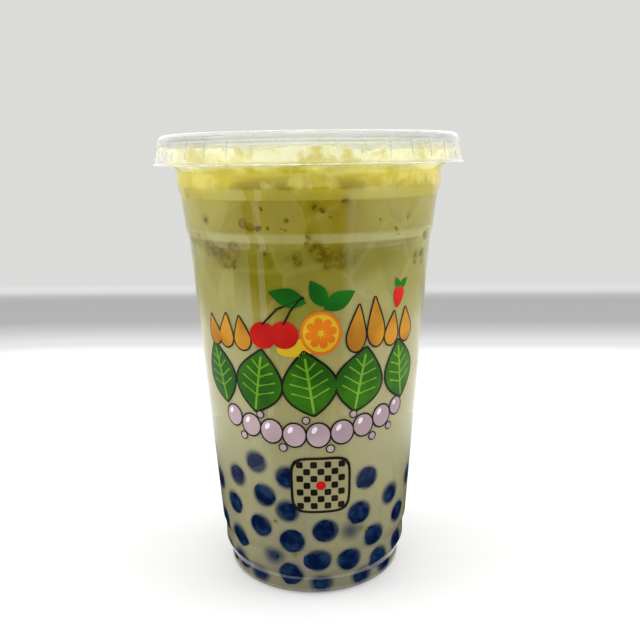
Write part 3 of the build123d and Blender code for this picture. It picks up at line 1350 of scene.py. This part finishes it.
class Print:
    """Thin plates of one ink, gathered into one piece."""

    def __init__(self, name, material, slot):
        self.name, self.material, self.slot = name, material, slot
        self.points = []
        self.faces = []
        self.total = 0

    def plate(self, outline, bearing, height, turn, lift, middle=(0.0, 0.0)):
        """A plate over a closed outline that can all be seen from its middle."""
        outline = np.asarray(outline, float)
        middle = np.array(middle, float)
        rings = max(1, math.ceil(np.abs(outline - middle).max() / 2.2))
        shares = np.arange(1, rings + 1) / rings
        heart = turned_flat(middle, turn)
        rows = []
        poles = []
        for stand, order in ((lift, shares), (PRINT_FOOT, shares[::-1])):
            poles.append(on_wall(heart[0], heart[1], bearing, height, stand))
            for share in order:
                flat = turned_flat(middle + (outline - middle) * share, turn)
                rows.append(on_wall(flat[:, 0], flat[:, 1], bearing, height, stand))
        points, faces = skin(rows, *poles)
        self.points.append(points)
        self.faces += [tuple(index + self.total for index in face) for face in faces]
        self.total += len(points)

    def stroke(self, line, width, bearing, height, lift):
        """A line of even width with round ends, one plate for each stretch."""
        line = np.asarray(line, float)
        for first, last in zip(line, line[1:]):
            along = last - first
            turn = math.degrees(math.atan2(along[1], along[0]))
            angles = np.linspace(-math.pi / 2, math.pi / 2, 9)
            right = np.stack((np.cos(angles), np.sin(angles)), 1) * width / 2
            right += (np.linalg.norm(along) / 2, 0)
            spots = turned_flat(np.concatenate((right, -right)), turn)
            centre = (first + last) / 2
            self.plate(spots + centre, bearing, height, 0.0, lift, centre)

    def finish(self):
        """Makes the piece from all of its plates."""
        points = np.concatenate(self.points)
        make_piece(self.name, points, self.faces, self.material, smooth=False)


def grown_out(outline, margin):
    """An outline moved outwards by a margin."""
    outline = np.asarray(outline, float)
    ahead = np.roll(outline, -1, 0) - np.roll(outline, 1, 0)
    length = np.maximum(np.linalg.norm(ahead, axis=1), 1e-9)
    away = np.stack((ahead[:, 1], -ahead[:, 0]), 1) / length[:, None]
    return outline + away * margin


def oval(width, height):
    """An ellipse of a width and height."""
    angles = even_angles(OUTLINE_POINTS)
    return np.stack((np.cos(angles) * width / 2, np.sin(angles) * height / 2), 1)


def tapered(width, height, girth, count):
    """A shape that is alike on both sides; girth gives its width from foot, -1, to tip, 1."""
    up = -np.cos(np.linspace(0, math.pi, count // 2 + 1))
    half = np.maximum(girth(up), 0.0) * width / 2
    right = np.stack((half, up * height / 2), 1)
    left = np.stack((-half[1:-1], up[1:-1] * height / 2), 1)[::-1]
    return np.concatenate((right, left))


def drop(width, height):
    """A drop, round below and pointed above."""
    low = -0.35

    def girth(up):
        ball = np.sqrt(np.clip(1 - ((up - low) / (1 + low)) ** 2, 0, 1))
        rise = np.clip((up - low) / (1 - low), 0, 1)
        return np.where(up < low, ball, (1 - rise**1.6) * (1 - 0.25 * rise))

    return tapered(width, height, girth, 48)


def leaf(width, height):
    """A pointed leaf, standing up, widest a little below its middle."""
    return tapered(width, height, lambda up: (1 - np.abs(up) ** 1.9) * (1 - 0.22 * up), 52)


def soft_square(size):
    """A square with well rounded corners."""
    angles = even_angles(OUTLINE_POINTS)
    shape = np.stack((np.cos(angles), np.sin(angles)), 1)
    power = (np.abs(shape) ** 5).sum(1) ** (-1 / 5)
    return shape * power[:, None] * size / 2


amber = Print("print_amber_drops", INK_AMBER, "print_amber")
orange = Print("print_orange_fruit", INK_ORANGE, "print_orange")
yellow = Print("print_yellow_fruit", INK_YELLOW, "print_amber")
red = Print("print_red_fruit", INK_RED, "print_red")
green = Print("print_green_leaves", INK_GREEN, "print_green")
deep_green = Print("print_fruit_leaves", INK_LEAF, "print_green")
veins = Print("print_leaf_veins", INK_LEAF_VEIN, "print_green")
lilac = Print("print_lilac_bubbles", INK_LILAC, "print_lilac")
shine = Print("print_bubble_shine", INK_SHINE, "print_lilac")
dark = Print("print_dark_lines", INK_DARK, "print_dark")


def outlined(ink, shape, bearing, height, turn, line=0.55):
    """A filled shape with a dark line round it."""
    dark.plate(grown_out(shape, line), bearing, height, turn, BACK)
    ink.plate(shape, bearing, height, turn, FRONT)


def veined_leaf(bearing, height, width, tall, turn):
    """A big leaf with a dark line round it, a pale midrib and side veins."""
    outlined(green, leaf(width, tall), bearing, height, turn, 0.7)
    reach = tall / 2
    midrib = turned_flat([(0, -reach * 0.9), (0, 0), (0, reach * 0.78)], turn)
    veins.stroke(midrib, 0.8, bearing, height, TOP)
    for up in (-0.45, -0.15, 0.15, 0.42):
        for side in (-1, 1):
            end = up + 0.22
            out = width * 0.36 * (1 - abs(end) ** 1.9) * (1 - 0.22 * end)
            rib = [(side * 0.3, reach * up), (side * out, reach * end)]
            veins.stroke(turned_flat(rib, turn), 0.5, bearing, height, TOP)


for bearing, height, width, tall, turn in (
    (-53.0, 90.6, 5.8, 9.6, 12), (-43.6, 91.2, 6.2, 10.8, -6), (-34.0, 91.0, 6.2, 10.6, 6),
    (21.0, 92.8, 6.2, 14.6, -4), (30.6, 94.2, 6.2, 15.6, 5), (40.6, 91.2, 5.6, 10.6, -6),
    (50.4, 91.6, 6.2, 11.0, 8),
):
    outlined(amber, drop(width, tall), bearing, height, turn)
for bearing, height, width, tall, turn in (
    (-51, 76.6, 13.2, 19.6, 12), (-26.5, 76.0, 15.6, 20.4, -10), (-1.5, 75.8, 16.4, 20.6, 8),
    (23.5, 76.2, 15.8, 20.4, -10), (48, 77.0, 13.2, 19.8, 10),
):
    veined_leaf(bearing, height, width, tall, turn)
for bearing, height, size in (
    (-43.5, 62.8, 6.2), (-32.6, 60.8, 6.6), (-21.2, 59.6, 7.0), (-9.4, 58.8, 7.0),
    (2.6, 58.8, 7.2), (14.6, 59.4, 7.0), (25.8, 60.8, 6.6), (36.8, 62.6, 6.6), (46.8, 64.6, 5.2),
):
    outlined(lilac, oval(size, size * 1.08), bearing, height, 0)
    swing = math.degrees(size * 0.2 / 42)
    shine.plate(oval(size * 0.2, size * 0.34), bearing - swing, height + size * 0.24, -32, TOP)
for bearing, height, size in (
    (-37.8, 56.6, 2.2), (-26.8, 64.8, 2.0), (-15.4, 54.4, 2.2), (-3.4, 63.8, 2.0), (8.6, 54.0, 2.2),
    (20.2, 65.0, 2.0), (31.4, 56.4, 2.2), (42.2, 58.4, 2.0),
):
    outlined(lilac, oval(size, size), bearing, height, 0, 0.4)

SLICE_SPOT = (4.2, 92.0)
yellow.plate(oval(13.0, 5.6), -6.5, 87.4, 8, BACK)
orange.plate(oval(12.6, 13.6), *SLICE_SPOT, 0, FRONT)
yellow.plate(oval(10.8, 11.8), *SLICE_SPOT, 0, TOP)
for number in range(8):
    angle = number * 45 + 12
    wedge = tapered(3.1, 4.2, lambda up: (1 + up) * np.sqrt(np.clip(1 - up, 0, 2)) * 0.75, 24)
    spot = turned_flat([(0, 2.8)], angle - 90)[0]
    orange.plate(turned_flat(wedge, angle - 90) + spot, *SLICE_SPOT, 0, TOP + 0.04, spot)
red.plate(oval(9.0, 8.8), -12.4, 91.4, 0, FRONT)
red.plate(oval(8.8, 8.6), -22.6, 91.0, 0, FRONT)
dark.stroke([(0, 0), (2.2, 4.2), (5.6, 8.2)], 0.6, -12.4, 94.8, TOP)
dark.stroke([(0, 0), (5.0, 5.0), (13.2, 8.6)], 0.6, -22.6, 94.4, TOP)
deep_green.plate(leaf(5.8, 12.0), -10.5, 103.0, 74, FRONT)
deep_green.plate(leaf(5.2, 9.4), 3.0, 104.2, 30, FRONT)
deep_green.plate(leaf(5.6, 11.0), 12.5, 102.0, -62, FRONT)
berry = tapered(5.6, 6.8, lambda up: np.sqrt(np.clip(1 - up**2, 0, 1)) * (0.8 + 0.3 * up), 32)
red.plate(berry, 43.5, 101.0, -8, FRONT)
deep_green.plate(leaf(2.4, 4.6), 46.5, 105.2, -50, FRONT)
deep_green.plate(leaf(2.2, 4.2), 42.5, 105.4, 30, FRONT)

BADGE_SPOT = (3.6, 41.4)
BADGE_REACH = 37.6
CHECK_PITCH = 2.4
dark.plate(soft_square(19.6), *BADGE_SPOT, 0, BACK)
paper = Print("print_badge_ground", INK_BADGE, "print_dark")
paper.plate(soft_square(17.8), *BADGE_SPOT, 0, FRONT)
for row in range(-3, 4):
    for column in range(-3, 4):
        if (row + column) % 2 == 0 and (row, column) != (0, 0):
            bearing = BADGE_SPOT[0] + math.degrees(column * CHECK_PITCH / BADGE_REACH)
            dark.plate(soft_square(2.2), bearing, BADGE_SPOT[1] + row * CHECK_PITCH, 0, TOP)
red.plate(oval(3.2, 3.2), *BADGE_SPOT, 0, TOP)

for ink in (amber, orange, yellow, red, green, deep_green, veins, lilac, shine, dark, paper):
    ink.finish()


# ---------------------------------------------------------------- stage


BACKDROP = paint(219, 220, 218)


def floor_look():
    """A white table with a soft grey far edge of painted shade, and a pale wall beyond."""
    material, tree = new_look("studio_floor")
    spot = tree.add("ShaderNodeTexCoord", None, None, "Object")
    turned = tree.add(
        "ShaderNodeMapping", None, {"Vector": spot, "Rotation": (0.0, 0.0, math.radians(4.0))}
    )
    powers = []
    for name in ("X", "Y"):
        away = tree.add("ShaderNodeSeparateXYZ", None, {0: turned}, name)
        powers.append(tree.add("ShaderNodeMath", {"operation": "ABSOLUTE"}, {0: away}) ** 8.0)
    far = (powers[0] + powers[1]) ** 0.125
    cloth = tree.noise(30.0, 3.0)
    # white near the cup, then a band of painted shade at the table's far edge, then the pale wall
    stops = (
        (0.27, 0.15), (0.331, 0.80), (0.367, 0.605), (0.407, 0.456), (0.505, 0.445),
        (0.534, 0.50), (0.560, 0.70), (0.590, 0.79), (0.625, 0.70), (1.0, 0.70),
    )
    stops = [(place, (light * 0.998, light, light, 1)) for place, light in stops]
    glow = tree.add("ShaderNodeValToRGB", {"stops": stops}, {0: far})
    glow = tree.mix(far.over(0.56, 0.64), glow, BACKDROP)
    shade = tree.mix(far.over(0.27, 0.335), grey(0.76), grey(0.0))
    shade = tree.mix(cloth * 0.01, shade, (0.6, 0.6, 0.62, 1))
    matt = tree.add("ShaderNodeBsdfDiffuse", None, {"Color": shade})
    glow = tree.add("ShaderNodeEmission", None, {"Color": glow, "Strength": seen_ray(tree)})
    both = tree.add("ShaderNodeAddShader", None, {0: matt, 1: glow})
    return finish_look(material, tree, both)


def seen_ray(tree):
    """1 for rays from the camera, a mirror or glass."""
    return tree.ray("Camera").most(tree.ray("Glossy")).most(tree.ray("Transmission"))


def hide_from(thing, rays):
    """Hides an object from kinds of rays."""
    for ray in rays:
        setattr(thing, "visible_" + ray, False)


floor_corners = [(x, y, -0.00006) for x, y in ((-8, -8), (8, -8), (8, 8), (-8, 8))]
floor_mesh = mesh_of("studio_floor", floor_corners, [(0, 1, 2, 3)], 1.0)
floor_mesh.materials.append(floor_look())
floor = in_scene("studio_floor", floor_mesh)


world = bpy.data.worlds.new("studio")
world.use_nodes = True
world.node_tree.nodes.clear()
sky = Tree(world.node_tree)
aim = sky.add("ShaderNodeTexCoord", None, None, "Generated")
facing = sky.add(
    "ShaderNodeVectorMath", {"operation": "DOT_PRODUCT"}, {0: aim, 1: (-0.156, -0.988, 0.0)}, "Value"
)
front = facing.over(0.70, 0.92)
height = sky.add("ShaderNodeSeparateXYZ", None, {0: aim}, "Z")
overhead = height.over(0.25, 0.9)
behind = sky.add("ShaderNodeSeparateXYZ", None, {0: aim}, "Y").over(0.5, 0.85) * height.over(0.08, 0.16)
mirrored = sky.mix(behind, grey(1.2), grey(1.8))
mirrored = sky.mix(overhead, mirrored, grey(2.1))
lit = sky.mix(front, grey(1.75), grey(1.36))
lit = sky.mix(overhead, lit, grey(0.5))
shown = sky.mix(sky.ray("Glossy"), lit, mirrored)
shown = sky.mix(sky.ray("Camera").most(sky.ray("Transmission")), shown, BACKDROP)
background = sky.add("ShaderNodeBackground", None, {"Color": shown, "Strength": 1.0})
sky.add("ShaderNodeOutputWorld", None, {"Surface": background})
bpy.context.scene.world = world


def softbox(name, spot, aim_at, size, power):
    """A square area lamp pointed at a place."""
    lamp = bpy.data.lights.new(name, "AREA")
    lamp.shape = "SQUARE"
    lamp.size = size
    lamp.energy = power
    holder = in_scene(name, lamp)
    away = np.array(spot, float) - np.array(aim_at, float)
    turn = Vector(away).to_track_quat("Z", "Y").to_matrix().to_4x4()
    holder.matrix_world = Matrix.Translation(spot) @ turn
    hide_from(holder, ("camera", "transmission", "glossy"))


softbox("left_softbox", (-0.75, -0.04, 0.38), (0, 0, 0.07), 0.7, 3.6)
softbox("right_softbox", (0.75, 0.0, 0.38), (0, 0, 0.07), 0.7, 3.6)
softbox("top_softbox", (0.0, 0.12, 0.95), (0, 0, 0.1), 0.8, 1.2)


def mirror_card(name, rows, closed, build):
    """A card that only mirror rays see, to shape the gloss on the clear wall."""
    material, tree = new_look(name)
    finish_look(material, tree, tree.add("ShaderNodeEmission", None, {"Color": build(tree)}))
    faces = loop_faces(len(rows), len(rows[0]), closed)
    mesh = mesh_of(name, np.concatenate(rows), faces, 1.0)
    mesh.materials.append(material)
    card = in_scene(name, mesh)
    hide_from(card, ("camera", "diffuse", "transmission", "volume_scatter", "shadow"))


def card_row(degrees, reach, tall):
    """A row of a card's points, in metres, at bearings from the front."""
    flat = outward(np.radians(degrees)) * reach
    return np.column_stack((flat, np.full(len(flat), tall)))


def graded(tree):
    """Black by the cup and white further out, but black out to the upright card before it."""
    across = tree.axis("X")
    along = tree.axis("Y")
    outer = ((across * across + along * along) ** 0.5).over(80.0, 160.0)
    bearing = bearing_of(tree)
    before = bearing.over(-46.0, -36.0) * (1.0 - bearing.over(28.0, 38.0))
    return tree.mix(outer * (1.0 - before), grey(0.003), grey(1.0))


def nearly_black(tree):
    """Black with a faint weave, fading to white at its right-hand end."""
    black = tree.mix(tree.noise(200.0, 2.0), grey(0.002), grey(0.006))
    return tree.mix(bearing_of(tree).over(23.0, 35.0), black, grey(1.2))


CARD_FOOT = 0.0003
CARD_TOP = 0.122
CARD_REACH = 0.16
ring_angles = np.linspace(0, 355, 72)
ring_rows = [card_row(ring_angles, reach, CARD_FOOT) for reach in (0.033, 0.08, 0.12, 0.162)]
mirror_card("ring_card", ring_rows, True, graded)
for number, ends in enumerate(((-38, 35), (-52, -44))):
    bearings = np.linspace(*ends, 20)
    upright_rows = [card_row(bearings, CARD_REACH, tall) for tall in (CARD_FOOT, CARD_TOP)]
    mirror_card(f"upright_card_{number}", upright_rows, False, nearly_black)


lens = bpy.data.cameras.new("camera")
lens.sensor_width = 36.0
lens.lens = 42.65
lens.clip_start = 0.01
lens.clip_end = 50.0
camera_object = in_scene("camera", lens)
camera_turn = Matrix.Rotation(math.radians(-0.67), 4, "Z")
camera_turn = camera_turn @ Matrix.Rotation(math.radians(77.95), 4, "X")
camera_turn = camera_turn @ Matrix.Rotation(math.radians(-0.8), 4, "Z")
camera_object.matrix_world = Matrix.Translation((0.0, -0.260, 0.14335)) @ camera_turn
bpy.context.scene.camera = camera_object
bpy.context.scene.view_settings.view_transform = "Standard"
